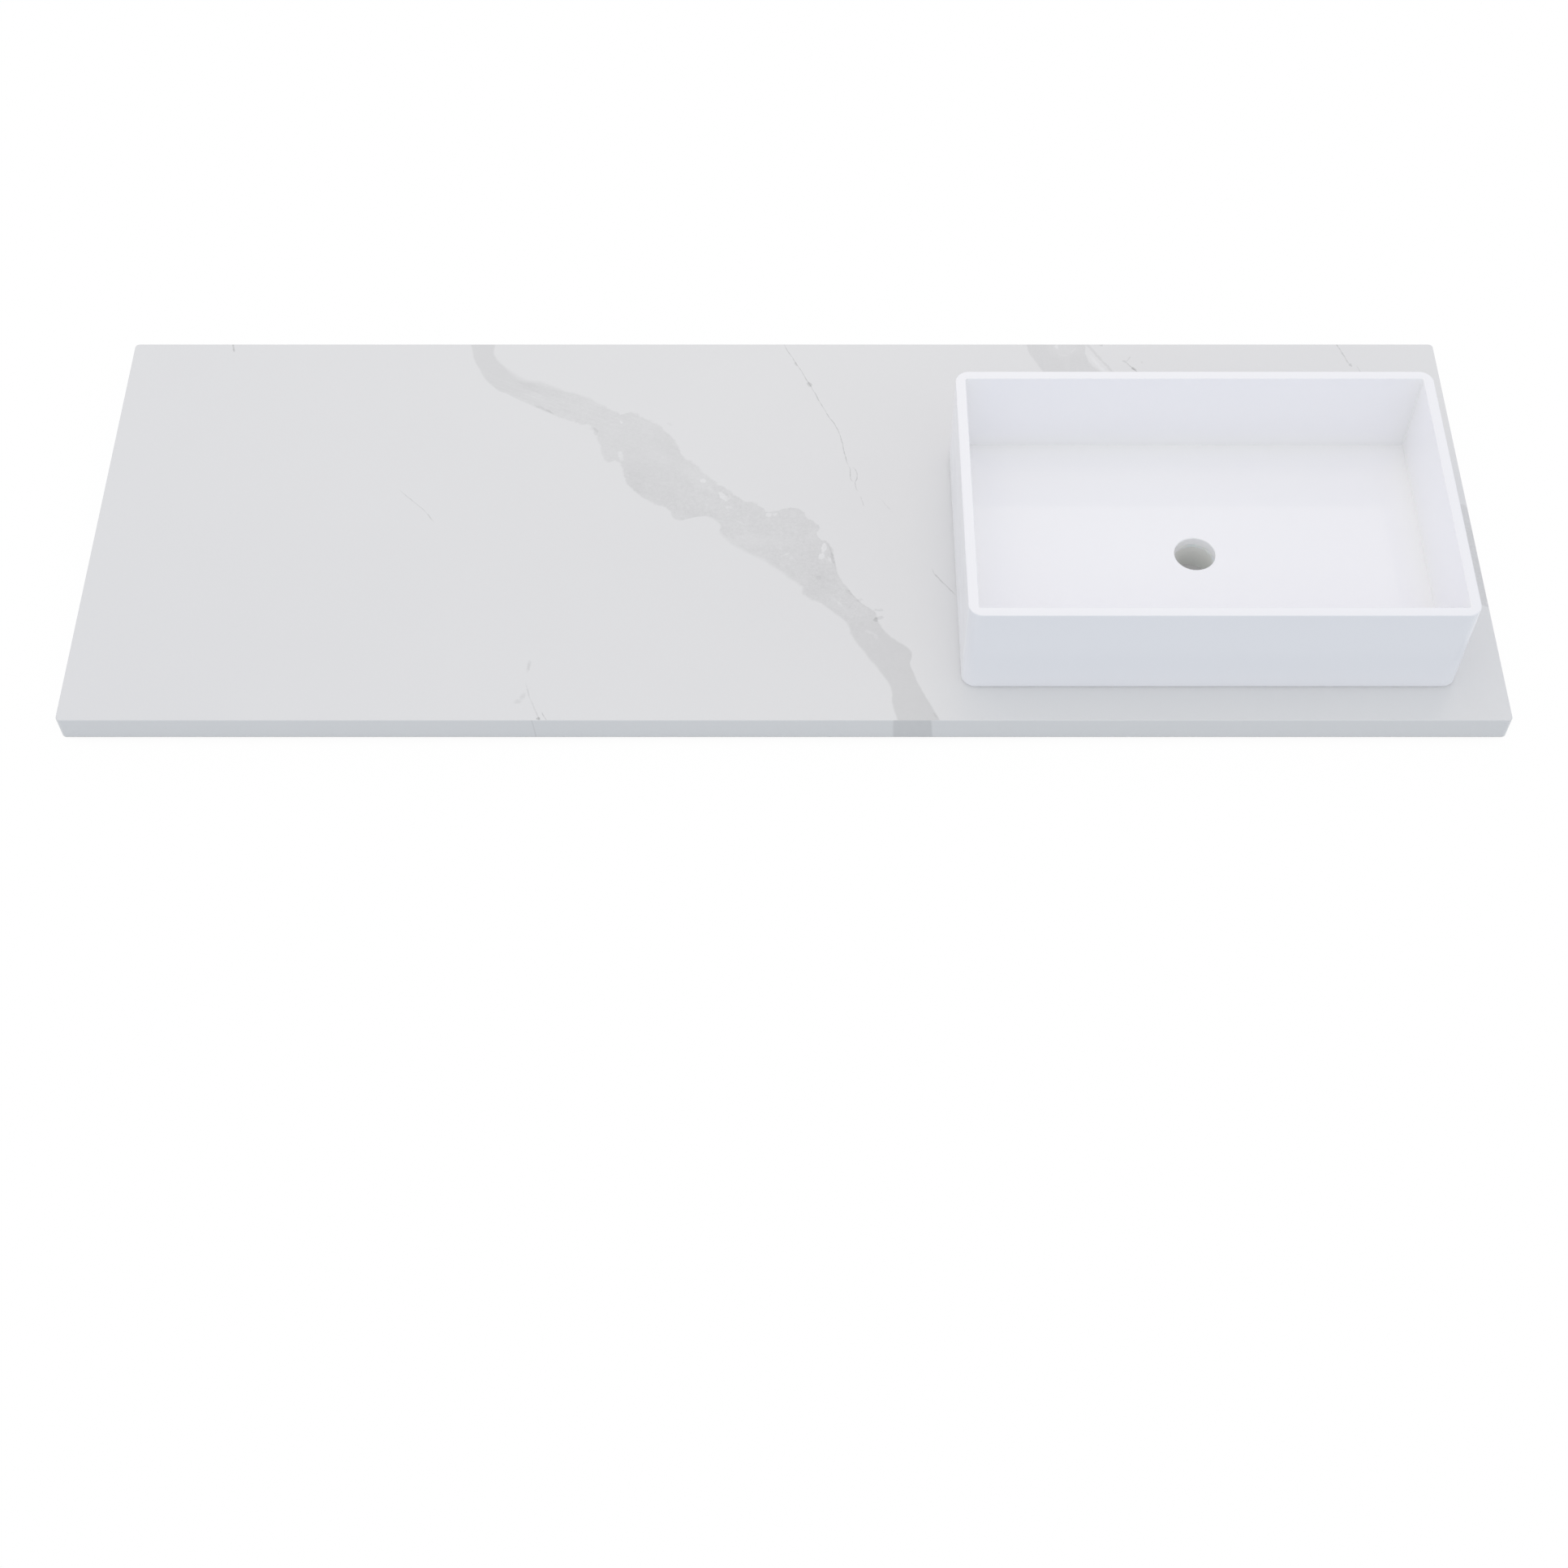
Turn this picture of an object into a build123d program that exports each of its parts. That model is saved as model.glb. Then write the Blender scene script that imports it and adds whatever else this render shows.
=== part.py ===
from build123d import *
import os

# A bathroom vanity top: a built-up stone counter with a glued-up rectangular basin standing on it.
# X runs along the counter to the right, Y from its front to its back, Z up.
# The origin is on the underside, in the middle of the counter. All sizes are in millimetres.

# Counter, over its finished edges
counter_width = 1524
counter_depth = 545
counter_height = 30
counter_corner_radius = 5
stone_thickness = 15
stone_arris_radius = 1

# Build-up rails that fill the underside of the counter
rail_width = 70
rail_arris = 1
rail_fit_gap = 0.5
field_rail_count = 2

# Basin, over its outside, its place on the counter and the sheet that it is glued up from
basin_width = 521.5
basin_depth = 340
basin_wall_height = 120
basin_right_margin = 53.25
basin_front_margin = 43
sheet_thickness = 11
basin_corner_radius = 15
basin_inner_corner_radius = 1.5
rim_arris_radius = 1.2
foot_arris_radius = 0.8

# Floor of the basin: a sheet whose rebated edge leaves a tongue, housed in a groove round the walls
floor_recess = 2.8
tongue_thickness = 7
tongue_length = 3
housing_end_gap = 0.5

# Waste hole, one bore through the basin's floor, the stone and the drain block
waste_hole_diameter = 44.5
waste_mouth_radius = 1.2
drain_block_side = 130
drain_block_corner_radius = 6

# Sealant bead under the walls, and the seal between the two bores
bead_thickness = 1.5
bead_width = 6
bead_setback = 2
waste_seal_setback = 1.75
waste_seal_width = 12

# Sizes and places that follow from the ones above
half_width = counter_width / 2
half_depth = counter_depth / 2
return_height = counter_height - stone_thickness
waste_hole_radius = waste_hole_diameter / 2

basin_x = half_width - basin_right_margin - basin_width / 2
basin_y = basin_front_margin + basin_depth / 2 - half_depth
inside_width = basin_width - 2 * sheet_thickness
inside_depth = basin_depth - 2 * sheet_thickness
foot_level = counter_height + bead_thickness
floor_level = foot_level + floor_recess

rail_inset = stone_thickness + rail_fit_gap + rail_width / 2
rail_line_x = half_width - rail_inset
rail_line_y = half_depth - rail_inset
drain_rail_offset = drain_block_side / 2 + rail_fit_gap + rail_width / 2

os.makedirs("parts", exist_ok=True)


def side_plans(width, depth, thickness):
    """Plan outlines of the four sides of a frame, mitred into one another at its corners."""
    outer_x, outer_y = width / 2, depth / 2
    inner_x, inner_y = outer_x - thickness, outer_y - thickness
    outer = [(-outer_x, -outer_y), (outer_x, -outer_y), (outer_x, outer_y), (-outer_x, outer_y)]
    inner = [(-inner_x, -inner_y), (inner_x, -inner_y), (inner_x, inner_y), (-inner_x, inner_y)]
    plans = {}
    for corner, side in enumerate(["front", "right", "back", "left"]):
        following = (corner + 1) % len(outer)
        plans[side] = [outer[corner], outer[following], inner[following], inner[corner]]
    return plans


# Outer form of the finished stone, which rounds the corners and arrises of the five stone pieces
with BuildPart() as stone_form:
    with BuildSketch():
        RectangleRounded(counter_width, counter_depth, counter_corner_radius)
    extrude(amount=counter_height)
    form_faces = stone_form.faces().sort_by(Axis.Z)
    fillet(form_faces[0].edges() + form_faces[-1].edges(), stone_arris_radius)

# Sheet of the counter's top, cut back at 45 degrees all round for the mitred edges
with BuildPart() as mitred_sheet:
    with BuildSketch(Plane.XY.offset(counter_height)):
        Rectangle(counter_width, counter_depth)
    with BuildSketch(Plane.XY.offset(return_height)):
        Rectangle(counter_width - 2 * stone_thickness, counter_depth - 2 * stone_thickness)
    loft(ruled=True)

# Top panel
with BuildPart() as top_panel:
    add(mitred_sheet.part)
    add(stone_form.part, mode=Mode.INTERSECT)
    with Locations((basin_x, basin_y, counter_height)):
        Hole(waste_hole_radius)
top_panel.part.label = "top_panel"
export_step(top_panel.part, "parts/top_panel.step")

# Front, right, back and left aprons, mitred under the top panel and into one another
for side, plan in side_plans(counter_width, counter_depth, stone_thickness).items():
    with BuildPart() as apron:
        with BuildSketch():
            Polygon(*plan, align=None)
        extrude(amount=counter_height)
        add(mitred_sheet.part, mode=Mode.SUBTRACT)
        add(stone_form.part, mode=Mode.INTERSECT)
    apron.part.label = f"{side}_apron"
    export_step(apron.part, f"parts/{side}_apron.step")

# Drain block, a second thickness of stone that the waste's nut clamps
with BuildPart() as drain_block:
    with BuildSketch():
        with Locations((basin_x, basin_y)):
            RectangleRounded(drain_block_side, drain_block_side, drain_block_corner_radius)
            Circle(waste_hole_radius, mode=Mode.SUBTRACT)
    extrude(amount=return_height)
drain_block.part.label = "drain_block"
export_step(drain_block.part, "parts/drain_block.step")

# Front and back rails, the length of the counter between its end aprons
for side, rail_y in {"front": -rail_line_y, "back": rail_line_y}.items():
    with BuildPart() as long_rail:
        with BuildSketch():
            with Locations((0, rail_y)):
                Rectangle(2 * rail_line_x + rail_width, rail_width)
        extrude(amount=return_height)
        chamfer(long_rail.faces().sort_by(Axis.Z)[0].edges(), rail_arris)
    long_rail.part.label = f"{side}_rail"
    export_step(long_rail.part, f"parts/{side}_rail.step")

# Cross rails, butted between the front and back ones: at the ends, beside the drain block,
# and evenly along the open field between the left end and the basin
field_start = -rail_line_x
field_pitch = (basin_x - drain_rail_offset - field_start) / (field_rail_count + 1)
cross_rails = {
    "left_end_rail": -rail_line_x,
    "right_end_rail": rail_line_x,
    "left_drain_rail": basin_x - drain_rail_offset,
    "right_drain_rail": basin_x + drain_rail_offset,
}
for count in range(1, field_rail_count + 1):
    cross_rails[f"field_rail_{count}"] = field_start + count * field_pitch

for rail_name, rail_x in cross_rails.items():
    with BuildPart() as cross_rail:
        with BuildSketch():
            with Locations((rail_x, 0)):
                Rectangle(rail_width, 2 * rail_line_y - rail_width)
        extrude(amount=return_height)
        chamfer(cross_rail.faces().sort_by(Axis.Z)[0].edges().filter_by(Axis.Y), rail_arris)
    cross_rail.part.label = rail_name
    export_step(cross_rail.part, f"parts/{rail_name}.step")

# Form of the four basin walls together: an even frame with rounded outer corners and eased arrises
with BuildPart() as wall_form:
    with BuildSketch(Plane.XY.offset(foot_level)):
        with Locations((basin_x, basin_y)):
            RectangleRounded(basin_width, basin_depth, basin_corner_radius)
            RectangleRounded(
                inside_width, inside_depth, basin_inner_corner_radius, mode=Mode.SUBTRACT
            )
    extrude(amount=basin_wall_height)
    fillet(wall_form.faces().sort_by(Axis.Z)[-1].edges(), rim_arris_radius)
    fillet(wall_form.faces().sort_by(Axis.Z)[0].outer_wire().edges(), foot_arris_radius)

# Groove round the inside of the walls that the floor's tongue is housed in
housing_depth = tongue_length + housing_end_gap
with BuildPart() as housing:
    with BuildSketch(Plane.XY.offset(floor_level)):
        with Locations((basin_x, basin_y)):
            Rectangle(inside_width + 2 * housing_depth, inside_depth + 2 * housing_depth)
    extrude(amount=tongue_thickness)

# Front, right, back and left walls, mitred into one another at the corners. Their plans reach in
# past the sheet by the inner corner's radius, so each wall keeps its half of the rounded corner
wall_plan_depth = sheet_thickness + basin_inner_corner_radius
for side, plan in side_plans(basin_width, basin_depth, wall_plan_depth).items():
    with BuildPart() as wall:
        with BuildSketch(Plane.XY.offset(foot_level)):
            with Locations((basin_x, basin_y)):
                Polygon(*plan, align=None)
        extrude(amount=basin_wall_height)
        add(wall_form.part, mode=Mode.INTERSECT)
        add(housing.part, mode=Mode.SUBTRACT)
    wall.part.label = f"basin_{side}_wall"
    export_step(wall.part, f"parts/basin_{side}_wall.step")

# Floor of the basin: its upper face fills the space between the walls, its tongue reaches into them,
# and the bore's mouth is rounded over
with BuildPart() as basin_floor:
    with BuildSketch(Plane.XY.offset(floor_level)):
        with Locations((basin_x, basin_y)):
            RectangleRounded(inside_width, inside_depth, basin_inner_corner_radius)
    extrude(amount=sheet_thickness)
    with BuildSketch(Plane.XY.offset(floor_level)):
        with Locations((basin_x, basin_y)):
            Rectangle(inside_width + 2 * tongue_length, inside_depth + 2 * tongue_length)
    extrude(amount=tongue_thickness)
    with Locations((basin_x, basin_y, floor_level + sheet_thickness)):
        Hole(waste_hole_radius)
    mouth = basin_floor.edges().filter_by(GeomType.CIRCLE).group_by(SortBy.RADIUS)[-1].sort_by(Axis.Z)[-1]
    fillet(mouth, waste_mouth_radius)
basin_floor.part.label = "basin_floor"
export_step(basin_floor.part, "parts/basin_floor.step")

# Sealant bead that beds the walls on the counter, set back from their outer face
bead_outer_width = basin_width - 2 * bead_setback
bead_outer_depth = basin_depth - 2 * bead_setback
with BuildPart() as basin_bead:
    with BuildSketch(Plane.XY.offset(counter_height)):
        with Locations((basin_x, basin_y)):
            RectangleRounded(
                bead_outer_width, bead_outer_depth, basin_corner_radius - bead_setback
            )
            RectangleRounded(
                bead_outer_width - 2 * bead_width,
                bead_outer_depth - 2 * bead_width,
                basin_corner_radius - bead_setback - bead_width,
                mode=Mode.SUBTRACT,
            )
    extrude(amount=bead_thickness)
basin_bead.part.label = "basin_bead"
export_step(basin_bead.part, "parts/basin_bead.step")

# Seal between the counter and the basin's floor, round the bore
seal_inner_radius = waste_hole_radius + waste_seal_setback
with BuildPart() as waste_seal:
    with BuildSketch(Plane.XY.offset(counter_height)):
        with Locations((basin_x, basin_y)):
            Circle(seal_inner_radius + waste_seal_width)
            Circle(seal_inner_radius, mode=Mode.SUBTRACT)
    extrude(amount=floor_level - counter_height)
waste_seal.part.label = "waste_seal"
export_step(waste_seal.part, "parts/waste_seal.step")
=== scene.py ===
"""Looks of a bathroom vanity top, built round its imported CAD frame.

A mitred counter of veined engineered stone carries a glued-up rectangular basin.
Sizes are in metres in the CAD's own frame, and in millimetres in the stone's finish.
"""

from __future__ import annotations

import logging
import math
from collections.abc import Callable, Sequence
from dataclasses import dataclass
from enum import Enum
from typing import ClassVar

import bmesh
import bpy
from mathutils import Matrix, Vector

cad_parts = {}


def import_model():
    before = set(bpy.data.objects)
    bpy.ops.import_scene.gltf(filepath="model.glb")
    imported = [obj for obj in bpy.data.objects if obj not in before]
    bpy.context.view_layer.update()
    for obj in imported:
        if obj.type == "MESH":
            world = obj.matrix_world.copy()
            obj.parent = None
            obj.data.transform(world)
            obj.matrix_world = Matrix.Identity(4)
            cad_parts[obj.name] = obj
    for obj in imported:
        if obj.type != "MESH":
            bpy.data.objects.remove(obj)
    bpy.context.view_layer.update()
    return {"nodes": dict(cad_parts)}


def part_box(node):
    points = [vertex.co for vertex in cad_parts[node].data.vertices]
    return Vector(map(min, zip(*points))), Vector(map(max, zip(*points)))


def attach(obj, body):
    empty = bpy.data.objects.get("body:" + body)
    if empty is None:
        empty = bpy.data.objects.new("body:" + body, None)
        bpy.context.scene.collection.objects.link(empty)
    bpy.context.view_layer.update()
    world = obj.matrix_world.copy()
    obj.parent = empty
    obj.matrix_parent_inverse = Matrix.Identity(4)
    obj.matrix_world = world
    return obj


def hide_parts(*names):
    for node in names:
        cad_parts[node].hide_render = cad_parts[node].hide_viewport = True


log = logging.getLogger("vanity_top")

MM_PER_M = 1000.0
NOISE_TO_SWING = 4.5
SMOOTH_ANGLE = math.radians(40.0)
TOLERANCE = 1e-5

Pair = tuple[float, float]
Triple = tuple[float, float, float]


# Shader maths

def operator(operation: str) -> Callable[..., Reading]:
    """Makes one of a reading's operators, which adds a Math node with this operation."""

    def apply(reading: Reading, *others: Reading | float) -> Reading:
        """Adds the node."""
        return reading.math(operation, *others)

    return apply


class Reading:
    """A shader socket that carries a number. Python's operators on it add Math nodes."""

    def __init__(self, recipe: Recipe, socket: bpy.types.NodeSocket) -> None:
        """Wraps one output socket of a recipe's node."""
        self.recipe = recipe
        self.socket = socket

    def math(self, operation: str, *others: Reading | float, first: float | None = None) -> Reading:
        """Adds one Math node.

        Args:
            operation: Blender's name of the operation.
            others: what stands in the node's next sockets.
            first: a number for the first socket, which moves this reading to the second.

        Returns:
            The node's result.
        """
        values = [self, *others] if first is None else [first, self, *others]
        node = self.recipe.node("ShaderNodeMath", {"operation": operation}, dict(enumerate(values)))
        return Reading(self.recipe, node.outputs[0])

    def __rsub__(self, other: float) -> Reading:
        """A number less this reading."""
        return self.math("SUBTRACT", first=other)

    __add__ = __radd__ = operator("ADD")
    __sub__ = operator("SUBTRACT")
    __mul__ = __rmul__ = operator("MULTIPLY")
    __truediv__ = operator("DIVIDE")
    __abs__ = operator("ABSOLUTE")
    __lt__ = operator("LESS_THAN")
    __gt__ = operator("GREATER_THAN")
    # Two masks are joined with | and crossed with &
    __or__ = operator("MAXIMUM")
    __and__ = operator("MINIMUM")

    def ramp(self, start: float, end: float, low: float = 0.0, high: float = 1.0) -> Reading:
        """Eases from low to high while this reading goes from start to end.

        Args:
            start: reading at which the result is low.
            end: reading at which the result is high.
            low: result before start.
            high: result past end.

        Returns:
            The eased reading, held between low and high.
        """
        node = self.recipe.node(
            "ShaderNodeMapRange",
            {"interpolation_type": "SMOOTHSTEP"},
            {"Value": self, "From Min": start, "From Max": end, "To Min": low, "To Max": high},
        )
        return Reading(self.recipe, node.outputs["Result"])

    def table(self, points: Sequence[Pair]) -> Reading:
        """Looks this reading up in a rounded curve through chosen points.

        Args:
            points: (reading, result) pairs in rising order of reading.

        Returns:
            The curve's height, level beyond its ends.
        """
        first, last = points[0][0], points[-1][0]
        heights = [height for _, height in points]
        low = min(heights)
        rise = (max(heights) - low) or 1.0
        share = self.recipe.node(
            "ShaderNodeMapRange", inputs={"Value": self, "From Min": first, "From Max": last}
        )
        curve = [
            ((start - first) / (last - first), (height - low) / rise) for start, height in points
        ]
        height = self.recipe.reading(
            "ShaderNodeFloatCurve", {"curve": curve}, {"Value": share.outputs["Result"]}
        )
        return height.math("MULTIPLY_ADD", rise, low)


class Recipe:
    """A node tree that is written in code: a material's, or the world's."""

    def __init__(self, owner: bpy.types.Material | bpy.types.World) -> None:
        """Empties the owner's node tree."""
        owner.use_nodes = True
        self.owner = owner
        self.tree = owner.node_tree
        self.tree.nodes.clear()

    @classmethod
    def named(cls, name: str) -> Recipe:
        """Starts the recipe of a new material."""
        return cls(bpy.data.materials.new(name))

    def node(
        self,
        kind: str,
        settings: dict[str, object] | None = None,
        inputs: dict[str | int, object] | None = None,
    ) -> bpy.types.Node:
        """Adds a node, sets it up, then fills its sockets.

        Args:
            kind: Blender's type name of the node.
            settings: the node's own properties, with a curve's points among them.
            inputs: a value, a reading or a socket for each input that isn't left as it is.

        Returns:
            The new node.
        """
        node = self.tree.nodes.new(kind)
        settings = dict(settings or {})
        curve = settings.pop("curve", None)
        for name, value in settings.items():
            setattr(node, name, value)
        if curve:
            self._draw_curve(node.mapping, curve)
        for key, value in (inputs or {}).items():
            source = value.socket if isinstance(value, Reading) else value
            entry = node.inputs[key]
            if isinstance(source, bpy.types.NodeSocket):
                self.tree.links.new(source, entry)
            else:
                entry.default_value = (*source, 1.0) if entry.type == "RGBA" else source
        return node

    @staticmethod
    def _draw_curve(mapping: bpy.types.CurveMapping, points: list[Pair]) -> None:
        """Puts a curve's points in place of the two that it starts with."""
        mapping.extend = "HORIZONTAL"
        curve = mapping.curves[0]
        curve.points[0].location = points[0]
        curve.points[-1].location = points[-1]
        for start, height in points[1:-1]:
            curve.points.new(start, height)
        for point in curve.points:
            point.handle_type = "AUTO_CLAMPED"
        mapping.update()

    def reading(self, kind: str, settings: dict, inputs: dict, output: str | int = 0) -> Reading:
        """Adds a node as node() does, and returns one of its outputs as a reading."""
        return Reading(self, self.node(kind, settings, inputs).outputs[output])

    def object_place(self) -> bpy.types.NodeSocket:
        """Returns the place on the piece, in metres in the CAD's frame."""
        return self.node("ShaderNodeTexCoord").outputs["Object"]

    def split(self, vector: bpy.types.NodeSocket) -> list[Reading]:
        """Returns a vector's three parts as readings."""
        node = self.node("ShaderNodeSeparateXYZ", inputs={0: vector})
        return [Reading(self, output) for output in node.outputs]

    def joined(self, *parts: Reading | float) -> bpy.types.NodeSocket:
        """Returns one vector made of up to three readings or numbers."""
        return self.node("ShaderNodeCombineXYZ", inputs=dict(enumerate(parts))).outputs[0]

    def vector(self, operation: str, *values: object) -> bpy.types.NodeSocket:
        """Returns the result of one Vector Math node."""
        node = self.node("ShaderNodeVectorMath", {"operation": operation}, dict(enumerate(values)))
        return node.outputs[0]

    def measure(self, operation: str, *vectors: object) -> Reading:
        """Returns the number that one Vector Math node gives."""
        inputs = dict(enumerate(vectors))
        return self.reading("ShaderNodeVectorMath", {"operation": operation}, inputs, "Value")

    def placed(
        self, vector: object, centre: Triple, turn: float, size: Triple
    ) -> bpy.types.NodeSocket:
        """Moves a vector into a shape's own frame.

        Args:
            vector: the place that is moved.
            centre: the shape's middle.
            turn: the shape's turn about Z, in radians.
            size: what counts as 1 along each of the shape's own directions.

        Returns:
            The place as the shape sees it.
        """
        node = self.node(
            "ShaderNodeMapping",
            {"vector_type": "TEXTURE"},
            {"Vector": vector, "Location": centre, "Rotation": (0.0, 0.0, turn), "Scale": size},
        )
        return node.outputs[0]

    def nearness(self, vector: object, centre: Pair, turn: float, size: Pair) -> Reading:
        """Measures how near the middle of an ellipse a place is.

        Args:
            vector: the place.
            centre: the ellipse's middle.
            turn: the ellipse's turn about Z, in radians.
            size: its two half-lengths.

        Returns:
            1 in the middle, falling evenly to 0 at the rim and beyond.
        """
        own = self.placed(vector, (*centre, 0.0), turn, (*size, 1.0))
        return self.reading(
            "ShaderNodeTexGradient", {"gradient_type": "SPHERICAL"}, {"Vector": own}, 1
        )

    def noise(
        self, vector: object, grain: float, detail: float, roughness: float, seed: float
    ) -> Reading:
        """Returns cloudy noise about 0.5.

        Args:
            vector: where the noise is read.
            grain: size of one cloud, in the vector's units.
            detail: how many finer layers there are.
            roughness: how strong the finer layers are.
            seed: picks one pattern out of many.

        Returns:
            The noise, mostly between 0.25 and 0.75.
        """
        inputs = {
            "Vector": vector, "W": seed, "Scale": 1.0 / grain, "Detail": detail,
            "Roughness": roughness,
        }
        return self.reading("ShaderNodeTexNoise", {"noise_dimensions": "4D"}, inputs, "Fac")

    def swing(
        self, vector: object, grain: float, detail: float, roughness: float, seed: float
    ) -> Reading:
        """Returns noise that swings about 0, mostly between -1 and 1, from noise()'s arguments."""
        return (self.noise(vector, grain, detail, roughness, seed) - 0.5) * NOISE_TO_SWING

    def blend(
        self, share: Reading | float, start: object, end: object, way: str = "MIX"
    ) -> bpy.types.NodeSocket:
        """Returns the colour a share of the way from start to what end makes of it."""
        settings = {"data_type": "RGBA", "blend_type": way}
        return self.node("ShaderNodeMix", settings, {0: share, 6: start, 7: end}).outputs[2]

    def tinted(self, base: object, strength: Reading) -> bpy.types.NodeSocket:
        """Returns a colour made darker or lighter by a reading."""
        return self.blend(1.0, base, self.joined(strength, strength, strength), "MULTIPLY")

    def bump(self, height: Reading, distance: float, strength: float) -> bpy.types.NodeSocket:
        """Returns a normal that follows a height, with distance in metres."""
        inputs = {"Height": height, "Distance": distance, "Strength": strength}
        return self.node("ShaderNodeBump", inputs=inputs).outputs[0]

    def surface(self, shader: bpy.types.Node) -> None:
        """Makes a shader the tree's result."""
        of_world = isinstance(self.owner, bpy.types.World)
        node = self.node("ShaderNodeOutputWorld" if of_world else "ShaderNodeOutputMaterial")
        self.tree.links.new(shader.outputs[0], node.inputs["Surface"])

    def principled(self, inputs: dict[str | int, object]) -> bpy.types.Material:
        """Ends a material's recipe with a Principled shader, and returns the material."""
        self.surface(self.node("ShaderNodeBsdfPrincipled", inputs=inputs))
        return self.owner


# Finishes

class Grain(Enum):
    """Which way the face grain of a plywood rail runs."""

    ALONG_COUNTER = "along_counter"
    ACROSS_COUNTER = "across_counter"


class Rim(Enum):
    """Share of its size over which a patch fades out."""

    CRISP = 0.4
    SOFT = 0.84


@dataclass(frozen=True)
class Blot:
    """A small patch, in millimetres from the left end and the back edge, that adds to the tone."""

    centre: Pair
    size: Pair
    turn: float
    tone: float
    rim: Rim
    outer_share: ClassVar[float] = 1.25

    @property
    def outer_size(self) -> Pair:
        """The half-lengths at which the patch has faded out."""
        return (self.size[0] * self.outer_share, self.size[1] * self.outer_share)


def blots(rim: Rim, *rows: tuple[float, ...]) -> tuple[Blot, ...]:
    """Makes patches from rows of their place, two half-lengths, turn in degrees, and tone."""
    return tuple(Blot(row[:2], row[2:4], *row[4:], rim) for row in rows)


@dataclass(frozen=True)
class Band:
    """A broad vein between two ragged edges, in millimetres from the left end and the back edge.

    Its tables give a value for each distance along it.
    """

    start: Pair
    end: Pair
    left_edge: tuple[Pair, ...]
    right_edge: tuple[Pair, ...]
    left_ragged: tuple[Pair, ...]
    right_ragged: tuple[Pair, ...]
    left_softness: tuple[Pair, ...]
    right_softness: tuple[Pair, ...]
    depth: tuple[Pair, ...]
    mottle: tuple[Pair, ...]
    streaks: tuple[Pair, ...]
    streak_turn: float
    patches: tuple[Blot, ...]
    seed: float

    @property
    def turn(self) -> float:
        """The band's own direction, in radians from the counter's length."""
        return math.atan2(self.end[1] - self.start[1], self.end[0] - self.start[0])

    def along_across(self, point: Pair) -> Pair:
        """Returns a point as a distance along the band and one across it."""
        right, back = point[0] - self.start[0], point[1] - self.start[1]
        cosine, sine = math.cos(self.turn), math.sin(self.turn)
        return (right * cosine + back * sine, right * sine - back * cosine)


@dataclass(frozen=True)
class Hairline:
    """A thin vein from the back towards the front, in millimetres as a broad one's."""

    run: tuple[Pair, ...]
    width: float
    depth: float
    core: ClassVar[float] = 0.3
    rim: ClassVar[float] = 1.3
    fade_length: ClassVar[float] = 12.0
    fade_share: ClassVar[float] = 0.3

    @property
    def sideways(self) -> float:
        """The line's width as it is crossed from left to right."""
        right = self.run[-1][0] - self.run[0][0]
        forward = self.run[-1][1] - self.run[0][1]
        return self.width * math.hypot(right, forward) / forward


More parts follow.
